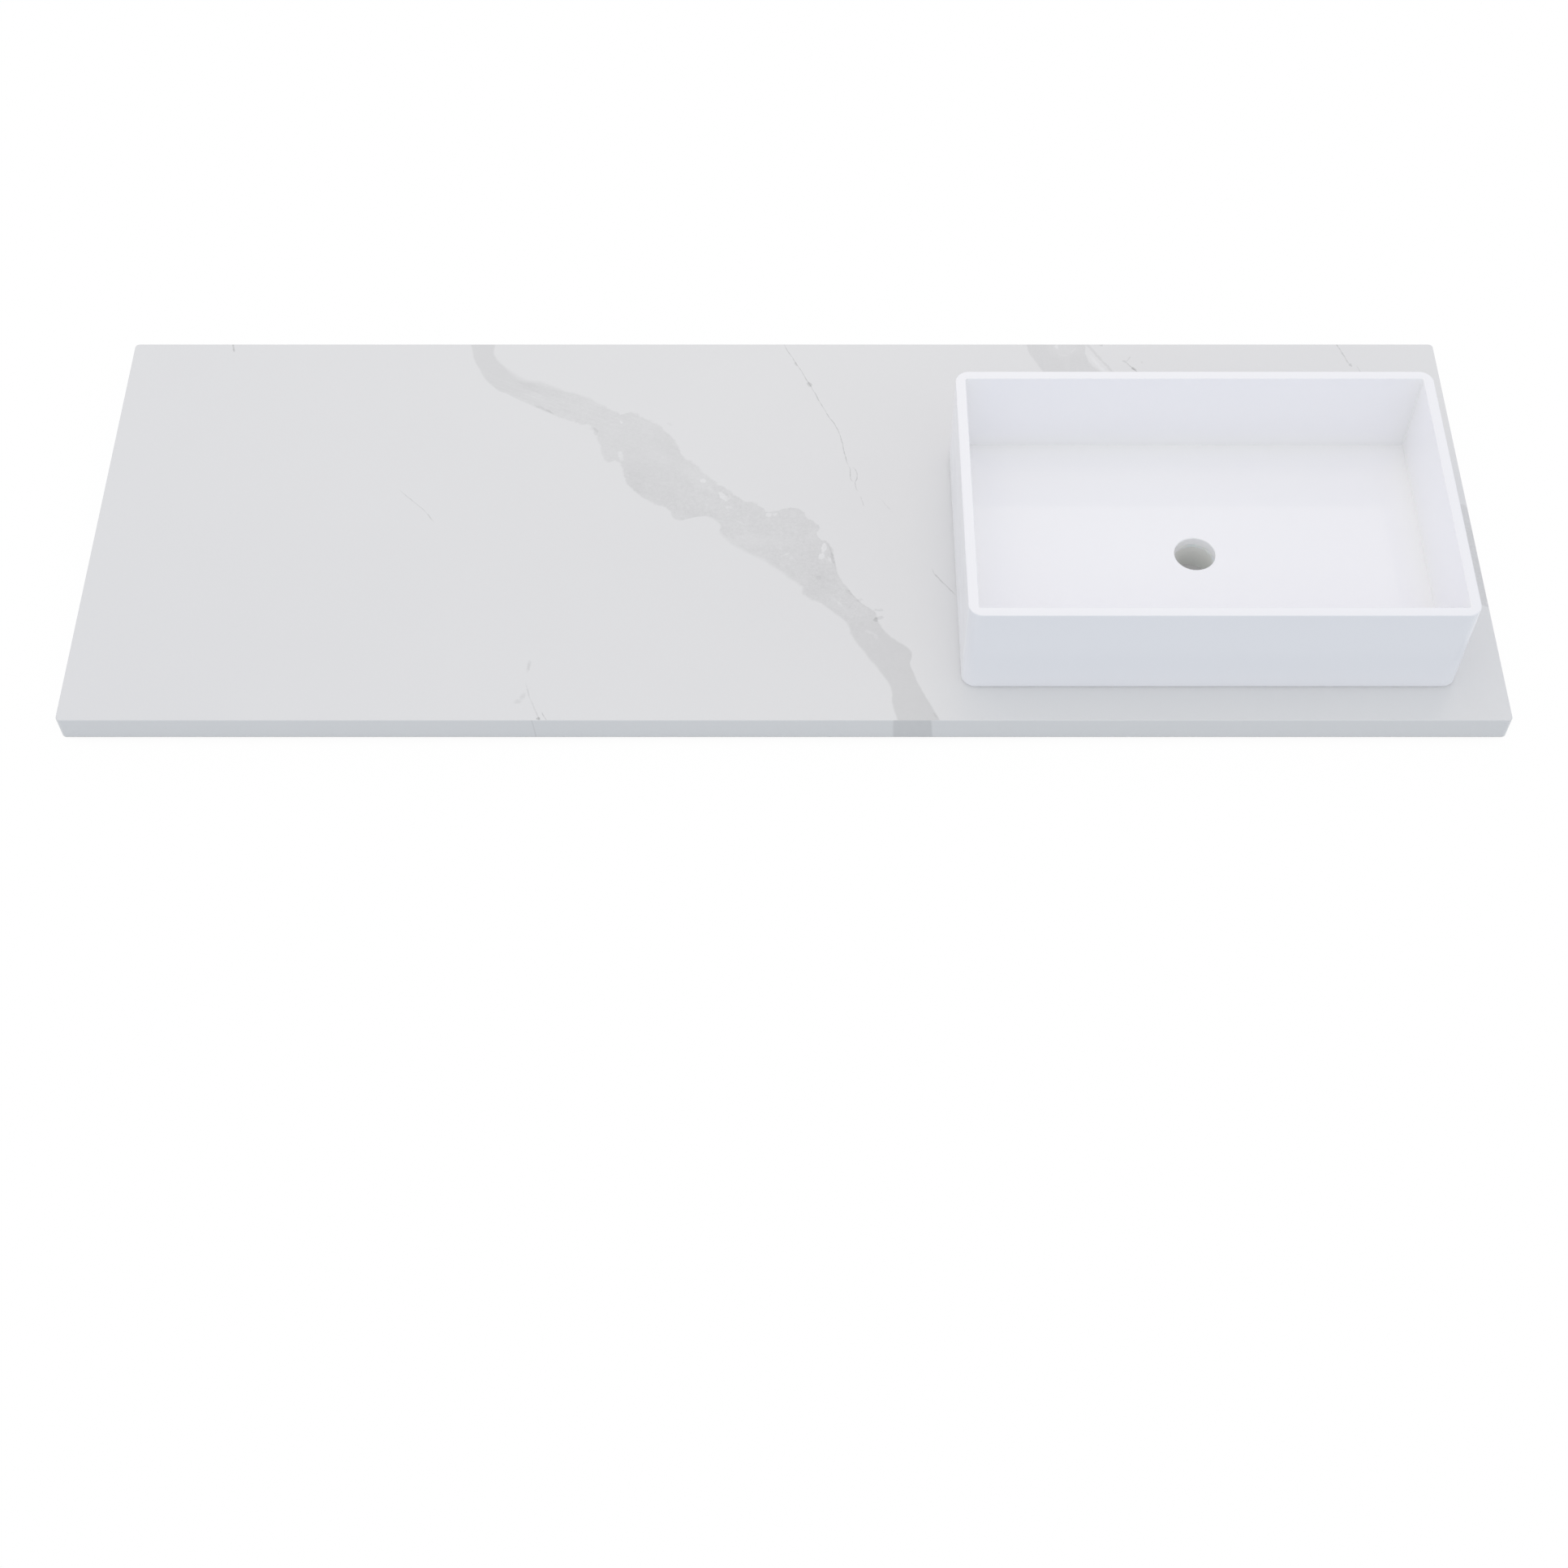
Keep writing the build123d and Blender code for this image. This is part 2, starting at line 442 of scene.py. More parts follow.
MAIN_BAND = Band(
    start=(405.0, 0.0),
    end=(905.0, 545.0),
    left_edge=(
        (394, 0), (408, 42), (426, 69), (441, 79), (470, 97), (496, 112), (530, 127), (541, 131),
        (549, 146), (553, 160), (558, 178), (564, 187), (571, 181), (578, 191), (584, 209),
        (591, 224), (601, 234), (620, 249), (634, 257), (640, 268), (652, 270), (668, 266),
        (690, 275), (691, 288), (700, 300), (716, 313), (747, 334), (768, 353), (781, 365),
        (783, 376), (802, 389), (826, 411), (834, 432), (852, 462), (872, 495), (876, 525),
        (881, 545),
    ),
    right_edge=(
        (422, 0), (431, 31), (449, 50), (480, 62), (505, 74), (535, 86), (556, 99), (574, 112),
        (588, 108), (600, 118), (616, 127), (634, 147), (642, 160), (650, 178), (664, 192),
        (680, 212), (700, 227), (718, 245), (728, 244), (740, 256), (765, 254), (783, 258),
        (792, 272), (799, 278), (800, 298), (810, 303), (816, 322), (820, 345), (829, 364),
        (845, 388), (859, 400), (862, 412), (877, 435), (894, 450), (896, 470), (905, 500),
        (925, 545),
    ),
    left_ragged=(
        (0, 0.4), (140, 0.6), (180, 2.2), (300, 1.8), (370, 1.4), (420, 0.8), (520, 1.4),
        (620, 0.8), (740, 0.5),
    ),
    right_ragged=(
        (0, 0.4), (130, 0.6), (180, 2.4), (330, 2.2), (450, 3.0), (530, 1.6), (620, 0.9),
        (740, 0.6),
    ),
    left_softness=(
        (0, 3.0), (110, 3.0), (170, 4.0), (240, 3.5), (330, 3.0), (400, 5.0), (470, 7.0),
        (560, 4.0), (640, 3.5), (740, 3.0),
    ),
    right_softness=(
        (0, 4.0), (50, 5.0), (80, 11.0), (110, 8.0), (170, 4.0), (240, 4.0), (330, 4.0),
        (400, 3.0), (520, 2.5), (640, 3.0), (740, 3.0),
    ),
    depth=(
        (0, 0.105), (60, 0.11), (110, 0.092), (170, 0.080), (230, 0.086), (300, 0.104),
        (370, 0.100), (440, 0.100), (500, 0.108), (560, 0.114), (640, 0.136), (740, 0.148),
    ),
    mottle=(
        (0, 0.05), (80, 0.12), (180, 0.36), (260, 0.26), (380, 0.40), (480, 0.38), (570, 0.40),
        (620, 0.12), (740, 0.06),
    ),
    streaks=((0, 0.0), (50, 0.06), (90, 0.22), (170, 0.22), (240, 0.10), (740, 0.0)),
    streak_turn=26.0,
    patches=blots(
        Rim.SOFT,
        (478, 73, 34, 8, 25, 0.026), (480, 88, 30, 7, 27, -0.014),
        (598, 216, 24, 30, -20, 0.030), (652, 252, 48, 15, 33, 0.018),
        (620, 176, 26, 12, 40, -0.022), (664, 206, 32, 13, 45, -0.030),
        (736, 302, 42, 10, 8, -0.022), (722, 322, 34, 10, 40, -0.014),
        (790, 322, 22, 14, 80, 0.010), (800, 362, 22, 26, 30, 0.014),
        (817, 386, 22, 5, 45, -0.022),
    ),
    seed=3.0,
)

SIDE_BAND = Band(
    start=(1080.0, 0.0),
    end=(1524.0, 322.0),
    left_edge=(
        (1047, 0), (1050, 16), (1057, 30), (1062, 42), (1090, 88), (1150, 154), (1220, 208),
        (1300, 268), (1400, 336), (1470, 372), (1524, 394),
    ),
    right_edge=(
        (1116, 0), (1117, 22), (1129, 42), (1170, 72), (1240, 110), (1320, 150), (1420, 195),
        (1490, 232), (1524, 252),
    ),
    left_ragged=((0, 0.4), (120, 2.0), (400, 2.4), (548, 1.6)),
    right_ragged=((0, 0.6), (120, 2.0), (400, 2.4), (548, 1.6)),
    left_softness=((0, 3.0), (200, 5.0), (548, 3.0)),
    right_softness=((0, 4.0), (200, 4.0), (548, 2.5)),
    depth=((0, 0.100), (300, 0.10), (548, 0.105)),
    mottle=((0, 0.12), (200, 0.30), (548, 0.40)),
    streaks=((0, 0.14), (548, 0.10)),
    streak_turn=84.0,
    patches=blots(
        Rim.SOFT,
        (1090, 6, 22, 17, 0, -0.040), (1092, 32, 5, 16, 0, -0.014),
        (1504, 322, 26, 3, 35, -0.040),
    ),
    seed=11.0,
)

HAIRLINES = (
    Hairline(((761, 0), (776, 31), (792, 65), (811, 110)), 1.2, 0.24),
    Hairline(((808, 102), (811, 110), (826, 144), (830, 169), (835, 192)), 1.2, 0.26),
    Hairline(((834, 189), (837, 198), (837, 207), (842, 217)), 1.2, 0.24),
    Hairline(((834, 189), (843, 198), (845, 208), (842, 217), (845, 231)), 1.2, 0.24),
    Hairline(((847, 234), (849, 240), (851, 253)), 1.3, 0.11),
    Hairline(((870, 240), (875, 247), (882, 258)), 1.6, 0.07),
    Hairline(((329, 224), (338, 234), (352, 247), (362, 258), (376, 277)), 1.2, 0.18),
    Hairline(((114, 0), (116, 7), (118, 14)), 2.4, 0.26),
    Hairline(((923, 338), (926, 347), (936, 361), (943, 371), (951, 381)), 1.5, 0.22),
    Hairline(((488, 493), (493, 510), (497, 522), (503, 536), (507, 545)), 1.8, 0.11),
    Hairline(((508, 533), (510, 538), (514, 545)), 1.3, 0.20),
    Hairline(((798, 299), (806, 302), (811, 307), (814, 316), (817, 330), (820, 345)), 2.2, 0.11),
    Hairline(((829, 366), (835, 375), (842, 385), (850, 393), (858, 400)), 2.2, 0.09),
    Hairline(((1118, 0), (1124, 10), (1131, 22), (1138, 34), (1152, 60)), 4.2, 0.10),
    Hairline(((1160, 27), (1165, 34), (1171, 42), (1176, 50)), 1.7, 0.28),
    Hairline(((1411, 0), (1418, 20), (1421, 30), (1424, 36)), 1.6, 0.22),
    Hairline(((1430, 34), (1432, 40), (1436, 52)), 1.3, 0.16),
)

BLOTS = (
    *blots(
        Rim.CRISP,
        (486, 104, 13.0, 1.5, 31, -0.075), (492, 107, 5.0, 1.8, 35, -0.060),
        (547, 139, 2.6, 6.0, -8, -0.075), (577, 176, 2.8, 7.5, -12, 0.075),
        (576, 124, 2.0, 2.0, 0, 0.10), (671, 213, 3.6, 2.6, 30, 0.085),
        (694, 236, 8.0, 2.9, 55, 0.105), (701, 238, 1.8, 3.6, 0, 0.06),
        (745, 263, 3.2, 2.6, 0, 0.09), (752, 262, 3.0, 2.2, -20, 0.08),
        (764, 320, 4.0, 1.7, -25, 0.06), (806, 311, 2.6, 7.0, 8, 0.13),
        (803, 323, 3.2, 4.6, 25, 0.13), (812, 327, 1.6, 4.4, -20, 0.09),
        (815, 326, 1.8, 7.5, -6, -0.09), (800, 353, 2.6, 3.6, 10, -0.05),
        (832, 373, 4.0, 2.0, 50, -0.06), (844, 384, 2.8, 2.0, -40, -0.06),
        (864, 398, 5.5, 1.7, 0, -0.10), (865, 409, 4.5, 2.2, -8, -0.11),
        (861, 411, 2.6, 2.6, 0, -0.16), (505.3, 542.6, 2.2, 1.3, 10, -0.26),
        (776, 32, 1.6, 3.0, -20, -0.10), (792, 65, 2.6, 3.6, -20, -0.20),
        (1135, 1, 1.8, 2.0, 0, -0.12), (1165, 24, 4.6, 0.8, -55, -0.10),
        (1160, 28, 2.2, 1.8, 20, -0.12), (1170, 40, 3.4, 2.2, 25, -0.18),
        (1180, 29, 1.2, 2.2, 0, -0.06), (1423, 34, 2.0, 3.0, 0, -0.18),
    ),
    *blots(
        Rim.SOFT,
        (543, 134, 4.5, 3.2, 10, -0.045), (631, 127, 4.2, 2.4, 35, -0.045),
        (679, 224, 3.8, 2.0, 60, 0.045), (700, 252, 5.5, 2.6, 15, 0.065),
        (711, 263, 2.2, 1.8, 0, 0.045), (722, 265, 3.0, 1.6, -40, 0.045),
        (733, 266, 3.4, 1.6, -50, 0.05), (715, 275, 5.5, 2.0, 30, 0.06),
        (757, 312, 2.6, 2.2, 0, 0.05), (770, 326, 3.2, 1.7, 20, 0.045),
        (758, 289, 3.0, 2.0, 30, 0.035), (810, 320, 3.0, 2.6, 0, -0.03),
        (822, 389, 9.0, 1.5, 48, 0.055), (803, 390, 3.0, 2.0, 20, 0.035),
        (853, 428, 6.0, 2.6, 25, 0.07), (860, 434, 2.6, 5.0, -30, 0.05),
        (921, 539, 4.6, 2.0, 52, -0.07), (491, 474, 2.3, 8.5, 5, -0.12),
        (487, 514, 3.4, 6.0, 20, -0.09), (482, 521, 4.6, 3.0, -20, -0.09),
        (1082, 4, 2.8, 5.0, 0, 0.10), (1089, 18, 6.5, 1.7, 10, 0.045),
        (1101, 11, 6.0, 1.7, -55, 0.045), (1126, 29, 15.0, 2.8, 62, 0.050),
        (1133, 40, 5.0, 3.0, 62, 0.040),
    ),
)


@dataclass(frozen=True)
class EngineeredStone:
    """Polished white engineered stone with grey veins, raw underneath and drilled for the waste.

    Its lengths are in millimetres. The margins let a mask reach a little past the faces it is for.
    """

    name: str = "engineered_stone"
    base: Triple = (0.815, 0.815, 0.815)
    raw_back: Triple = (0.56, 0.55, 0.53)
    # A cut face is a little whiter than a polished one, and this colour is also raised to brighten
    # the bore: partly painted light
    drilled: Triple = (0.85, 0.847, 0.82)
    counter_width: float = 1524.0
    counter_depth: float = 545.0
    counter_height: float = 30.0
    stone_thickness: float = 15.0
    hole_centre: Pair = (1210.0, 332.0)
    hole_radius: float = 22.25
    front_face_setback: float = 20.5
    front_face_climb: float = 0.2
    patch_wander: float = 1.5
    hairline_wander: float = 0.8
    streak_length: float = 12.0
    polished_roughness: Pair = (0.17, 0.25)
    raw_roughness: float = 0.75
    edge_margin: float = 0.4
    raw_margin: float = 0.3
    bore_margin: float = 0.2
    mouth_margin: float = 0.1

    def material(self) -> bpy.types.Material:
        """Returns the stone's material."""
        recipe = Recipe.named(self.name)
        place = recipe.vector("MULTIPLY", recipe.object_place(), (MM_PER_M,) * 3)
        x, y, z = recipe.split(place)
        shade = self._shade(recipe, place, *self._unfolded(x, y, z))

        hole_x = self.hole_centre[0] - self.counter_width / 2
        hole_y = self.counter_depth / 2 - self.hole_centre[1]
        from_hole = recipe.measure("LENGTH", recipe.joined(x - hole_x, y - hole_y, 0.0))
        under_top = z < self.counter_height - self.mouth_margin
        bore = (from_hole < self.hole_radius + self.bore_margin) * under_top
        raw = self._raw_mask(x, y, z) * (1.0 - bore)
        sawn = self._sawn(recipe, place)
        face = recipe.tinted(self.base, shade)
        back = recipe.tinted(self.raw_back, sawn)
        drilled = recipe.tinted(self.drilled, self._drilled(recipe, place, z))
        polish = recipe.noise(place, 40.0, 3.0, 0.6, 50.0).ramp(0.3, 0.7, *self.polished_roughness)
        matt = raw | bore
        return recipe.principled({
            "Base Color": recipe.blend(bore, recipe.blend(raw, face, back), drilled),
            "Roughness": polish * (1.0 - matt) + matt * self.raw_roughness,
            "IOR": 1.5,
            "Normal": recipe.bump(sawn * raw, 0.0004, 0.5),
        })

    def _shade(self, recipe: Recipe, place: object, right: Reading, forward: Reading) -> Reading:
        """Draws every vein and patch on the polished faces.

        Args:
            recipe: the material's recipe.
            place: the place on the piece, in millimetres.
            right: how far right of the left end it is.
            forward: how far in front of the back edge it is.

        Returns:
            The stone's tone, about 1 where it is plain.
        """
        plan = recipe.joined(right, forward, 0.0)
        wander_right = recipe.swing(plan, 5.0, 3.0, 0.6, 20.0) * self.patch_wander
        wander_forward = recipe.swing(plan, 5.0, 3.0, 0.6, 30.0) * self.patch_wander
        ragged_plan = recipe.joined(right + wander_right, forward + wander_forward, 0.0)

        shade = 1.0 - self._cloud(recipe, place, plan)
        shade = shade * (1.0 - self._band(recipe, plan, MAIN_BAND))
        shade = shade * (1.0 - self._band(recipe, plan, SIDE_BAND))
        wavy_right = right + recipe.swing(plan, 14.0, 3.0, 0.55, 25.0) * self.hairline_wander
        beat = recipe.noise(plan, 6.0, 2.0, 0.6, 60.0)
        thinness = beat.ramp(0.3, 0.7, 2.8, 1.35)
        lines: Reading | float = 0.0
        for hairline in HAIRLINES:
            lines = self._hairline(wavy_right, forward, thinness, hairline) + lines
        shade = shade * (1.0 - lines * beat.ramp(0.25, 0.6, 0.45, 1.0))
        for blot in BLOTS:
            shade = shade + self._blot(recipe, ragged_plan, blot)
        return shade

    def _unfolded(self, x: Reading, y: Reading, z: Reading) -> tuple[Reading, Reading]:
        """Lays the edge faces out beside the top, as veins that are matched across a mitre run on.

        Args:
            x: the place along the counter, from its middle.
            y: the place across the counter, from its middle.
            z: the place above the counter's underside.

        Returns:
            Readings of how far right of the left end and how far in front of the back edge it is.
        """
        drop = self.counter_height - z
        half_width, half_depth = self.counter_width / 2, self.counter_depth / 2
        on_end = abs(x) > half_width - self.edge_margin
        on_back = y > half_depth - self.edge_margin
        on_front = y < self.edge_margin - half_depth
        right = x + half_width + x.math("SIGN") * on_end * drop
        over_front = on_front * (self.front_face_setback - drop * self.front_face_climb)
        return right, half_depth - y - over_front + on_back * drop

    def _cloud(self, recipe: Recipe, place: object, plan: object) -> Reading:
        """Returns how much faint cloud and fine grain darken the plain stone."""
        cloud = recipe.swing(plan, 120.0, 2.0, 0.5, 40.0) * 0.004
        grain = recipe.swing(place, 1.1, 2.0, 0.7, 45.0) * 0.008
        return cloud + grain

    def _band(self, recipe: Recipe, plan: object, band: Band) -> Reading:
        """Returns how much a broad vein darkens the stone."""
        own = recipe.placed(plan, (*band.start, 0.0), band.turn, (1.0, -1.0, 1.0))
        along, across, _ = recipe.split(own)
        rough_edge = recipe.swing(plan, 9.0, 3.0, 0.6, band.seed)
        left = along.table([band.along_across(point) for point in band.left_edge])
        right = along.table([band.along_across(point) for point in band.right_edge])
        from_left = across - left + rough_edge * along.table(band.left_ragged)
        from_right = right - across + rough_edge * along.table(band.right_ragged)
        inside_left = (from_left / along.table(band.left_softness)).ramp(-0.5, 0.5)
        inside_right = (from_right / along.table(band.right_softness)).ramp(-0.5, 0.5)

        fine = recipe.swing(plan, 3.2, 2.0, 0.7, band.seed + 2.0)
        patchy = recipe.swing(plan, 22.0, 3.0, 0.6, band.seed + 3.0) * 0.5
        streak_turn, stretch = math.radians(band.streak_turn), (self.streak_length, 1.0, 1.0)
        drawn_out = recipe.placed(plan, (*band.start, 0.0), streak_turn, stretch)
        streaky = recipe.swing(drawn_out, 2.6, 2.0, 0.6, band.seed + 4.0)
        mottle = (fine + patchy) * along.table(band.mottle)
        streaks = streaky * along.table(band.streaks)
        depth = along.table(band.depth)
        for patch in band.patches:
            depth = depth + self._blot(recipe, plan, patch)
        return inside_left * inside_right * depth * (1.0 + mottle + streaks)

    def _hairline(
        self, right: Reading, forward: Reading, thinness: Reading, line: Hairline
    ) -> Reading:
        """Returns how much a thin vein darkens the stone."""
        first, last = line.run[0][1], line.run[-1][1]
        middle = forward.table([(ahead, across) for across, ahead in line.run])
        away = abs(right - middle) * thinness
        mark = away.ramp(line.core * line.sideways, line.rim * line.sideways, line.depth, 0.0)
        fade = min(line.fade_length, (last - first) * line.fade_share)
        if first > 0.0:
            mark = mark * forward.ramp(first, first + fade)
        if last < self.counter_depth:
            mark = mark * forward.ramp(last - fade, last, 1.0, 0.0)
        return mark

    def _blot(self, recipe: Recipe, plan: object, blot: Blot) -> Reading:
        """Returns how much a small patch lightens or darkens the stone."""
        near = recipe.nearness(plan, blot.centre, math.radians(blot.turn), blot.outer_size)
        return near.ramp(0.0, blot.rim.value, 0.0, blot.tone)

    def _sawn(self, recipe: Recipe, place: object) -> Reading:
        """Returns the tone of stone as it leaves the calibrating saw."""
        coarse = recipe.noise(place, 3.0, 4.0, 0.7, 70.0)
        drawn_out = recipe.vector("MULTIPLY", place, (0.02, 1.0, 1.0))
        long_marks = recipe.noise(drawn_out, 1.6, 2.0, 0.5, 71.0)
        return 1.0 + (coarse - 0.5) * 0.12 + (long_marks - 0.5) * 0.08

    def _drilled(self, recipe: Recipe, place: object, z: Reading) -> Reading:
        """Returns the tone of the bore: faint drill rings, grit, and painted shade that darkens its
        lower end.
        """
        turned = recipe.vector("MULTIPLY", place, (0.1, 0.1, 1.0))
        rings = recipe.noise(turned, 0.9, 2.0, 0.5, 72.0)
        grit = recipe.noise(place, 1.2, 2.0, 0.7, 73.0)
        # Painted shade: darker towards the bore's lower end, lighter at its mouth
        painted_depth_shade = z.ramp(0.0, self.counter_height, 0.96, 1.03)
        return painted_depth_shade + (rings - 0.5) * 0.05 + (grit - 0.5) * 0.16

    def _raw_mask(self, x: Reading, y: Reading, z: Reading) -> Reading:
        """Returns 1 on stone that was never polished: the back of the sheet and the drain block."""
        edge = self.stone_thickness - self.raw_margin
        inner_x = abs(x) < self.counter_width / 2 - edge
        inner_y = abs(y) < self.counter_depth / 2 - edge
        return inner_x * inner_y * (z < self.stone_thickness + self.raw_margin)


@dataclass(frozen=True)
class SolidSurface:
    """White cast acrylic sheet, glued up with seams that can't be seen and buffed on its inside."""

    middle: Pair
    inside: Pair
    floor_top: float
    bore_radius: float
    name: str = "solid_surface"
    base: Triple = (0.965, 0.965, 0.99)
    # Painted light: a lighter colour that brightens the inner corners and the floor's bore
    painted_light_tone: Triple = (0.994, 0.994, 1.0)
    corner_light_reach: float = 0.032
    corner_light_shares: tuple[Pair, ...] = ((0.0, 1.0), (0.3, 0.66), (0.65, 0.24), (1.0, 0.0))
    face_margin: float = 0.001
    bore_margin: float = 0.0004

    def material(self) -> bpy.types.Material:
        """Returns the sheet's material."""
        recipe = Recipe.named(self.name)
        place = recipe.object_place()
        x, y, z = recipe.split(place)
        side_x, side_y = abs(x - self.middle[0]), abs(y - self.middle[1])
        to_ends = self.inside[0] / 2 - side_x
        to_sides = self.inside[1] / 2 - side_y
        to_floor = z - self.floor_top
        skin = -self.face_margin
        between_walls = (to_ends > skin) * (to_sides > skin)
        from_hole = recipe.measure("LENGTH", recipe.joined(side_x, side_y, 0.0))
        bore = from_hole < self.bore_radius + self.bore_margin
        corner_light = self._corner_light_share(abs(to_ends), abs(to_sides), abs(to_floor))
        # Painted light: the inner corners and the bore are lightened where shade falls
        pale = (corner_light * between_walls * (to_floor > skin)) | bore

        cloud = (recipe.noise(place, 0.07, 2.0, 0.5, 1.0) - 0.5) * 0.010
        speck = (recipe.noise(place, 0.0009, 2.0, 0.7, 2.0) - 0.5) * 0.016
        wiped = recipe.vector("MULTIPLY", place, (1.0, 0.35, 1.0))
        wipe_marks = recipe.noise(wiped, 0.02, 3.0, 0.6, 3.0)
        buffed = wipe_marks.ramp(0.3, 0.7, 0.012, 0.024)
        satin = wipe_marks.ramp(0.3, 0.7, 0.20, 0.22)
        tone = recipe.blend(pale, self.base, self.painted_light_tone)
        return recipe.principled({
            "Base Color": recipe.tinted(tone, 1.0 + cloud + speck),
            "Roughness": buffed * between_walls + satin * (1.0 - between_walls),
            "IOR": 1.5,
        })

    def _corner_light_share(self, to_ends: Reading, to_sides: Reading, to_floor: Reading) -> Reading:
        """Measures how much painted light a place near an inner corner gets.

        Args:
            to_ends: distance to the left or the right wall's inner face.
            to_sides: distance to the front or the back wall's inner face.
            to_floor: distance to the floor's upper face.

        Returns:
            1 in the corner, 0 out on the open faces.
        """
        second_nearest = (to_ends & to_sides) | ((to_ends | to_sides) & to_floor)
        return (second_nearest / self.corner_light_reach).table(self.corner_light_shares)


@dataclass(frozen=True)
class Plywood:
    """Birch plywood with a veneered face and its plies showing on the cut edges."""

    grain: Grain
    ply_count: int = 11
    thickness: float = 0.015
    face: Triple = (0.60, 0.44, 0.28)
    face_dark: Triple = (0.50, 0.35, 0.21)
    cross_ply: Triple = (0.42, 0.28, 0.16)

    @property
    def name(self) -> str:
        """The material's name."""
        return f"plywood_{self.grain.value}"

    def material(self) -> bpy.types.Material:
        """Returns the plywood's material."""
        recipe = Recipe.named(self.name)
        place = recipe.object_place()
        along_counter = self.grain is Grain.ALONG_COUNTER
        stretch = (0.05, 1.0, 1.0) if along_counter else (1.0, 0.05, 1.0)
        drawn_out = recipe.vector("MULTIPLY", place, stretch)
        figure = recipe.noise(drawn_out, 0.006, 4.0, 0.6, 5.0)
        fibre = recipe.noise(drawn_out, 0.0006, 3.0, 0.7, 6.0)
        veneer = recipe.blend(figure.ramp(0.3, 0.7), self.face, self.face_dark)
        veneer = recipe.tinted(veneer, 1.0 + (fibre - 0.5) * 0.22)

        ply = self.thickness / self.ply_count
        _, _, height = recipe.split(place)
        wander = (recipe.noise(place, 0.05, 2.0, 0.5, 7.0) - 0.5) * 0.0004
        turns = (height + wander) / (2.0 * ply)
        crossed = abs(turns.math("FRACT") - 0.5).ramp(0.19, 0.31)
        pores = recipe.noise(place, 0.0005, 2.0, 0.7, 8.0)
        edge = recipe.blend(crossed, self.face, self.cross_ply)
        edge = recipe.tinted(edge, 1.0 + (pores - 0.5) * 0.35)

        normal = recipe.node("ShaderNodeNewGeometry").outputs["True Normal"]
        is_face = abs(recipe.split(normal)[2]).ramp(0.6, 0.8)
        relief = fibre * is_face + (pores + crossed) * (1.0 - is_face) * 0.5
        return recipe.principled({
            "Base Color": recipe.blend(is_face, edge, veneer),
            "Roughness": 0.72 + (fibre - 0.5) * 0.15,
            "Normal": recipe.bump(relief, 0.0002, 0.5),
        })


@dataclass(frozen=True)
class Sealant:
    """Neutral-cure silicone, slightly clear and a little dusty."""

    name: str = "sealant"
    base: Triple = (0.92, 0.92, 0.91)

    def material(self) -> bpy.types.Material:
        """Returns the sealant's material."""
        recipe = Recipe.named(self.name)
        place = recipe.object_place()
        dust = recipe.noise(place, 0.004, 4.0, 0.6, 9.0)
        drawn_out = recipe.vector("MULTIPLY", place, (1.0, 1.0, 6.0))
        drag = recipe.noise(drawn_out, 0.008, 2.0, 0.5, 10.0)
        return recipe.principled({
            "Base Color": recipe.tinted(self.base, 1.0 + (dust - 0.5) * 0.12),
            "Roughness": dust.ramp(0.3, 0.7, 0.32, 0.46),
            "IOR": 1.41,
            "Subsurface Weight": 0.15,
            "Subsurface Scale": 0.002,
            "Normal": recipe.bump(drag, 0.0002, 0.4),
        })


@dataclass(frozen=True)
class StoneAdhesive:
    """Polyester adhesive that was pressed out of the joints and set with a dull skin."""

    name: str = "stone_adhesive"
    base: Triple = (0.70, 0.64, 0.50)
    thin: Triple = (0.60, 0.50, 0.34)

    def material(self) -> bpy.types.Material:
        """Returns the adhesive's material."""
        recipe = Recipe.named(self.name)
        place = recipe.object_place()
        cure = recipe.noise(place, 0.012, 3.0, 0.6, 12.0)
        skin = recipe.noise(place, 0.0016, 3.0, 0.6, 13.0)
        tone = recipe.blend(cure.ramp(0.35, 0.65), self.base, self.thin)
        return recipe.principled({
            "Base Color": recipe.tinted(tone, 1.0 + (skin - 0.5) * 0.12),
            "Roughness": skin.ramp(0.3, 0.7, 0.38, 0.6),
            "IOR": 1.53,
            "Normal": recipe.bump(skin, 0.0003, 0.5),
        })


def dress(node: bpy.types.Object, finish: bpy.types.Material) -> None:
    """Gives a finish to every material slot of a piece."""
    if not node.material_slots:
        node.data.materials.append(finish)
    for slot in node.material_slots:
        slot.material = finish


# Modelling

def pick(piece: bpy.types.Object, kind: str, wanted: Callable[[object], bool]) -> None:
    """Selects parts of the piece that is being edited, and nothing else.

    Args:
        piece: the piece in edit mode.
        kind: "verts", "edges" or "faces".
        wanted: says of one part whether it is selected.
    """
    bpy.ops.mesh.select_all(action="DESELECT")
    mesh = bmesh.from_edit_mesh(piece.data)
    for part in getattr(mesh, kind):
        if wanted(part):
            part.select_set(True)
    bmesh.update_edit_mesh(piece.data)


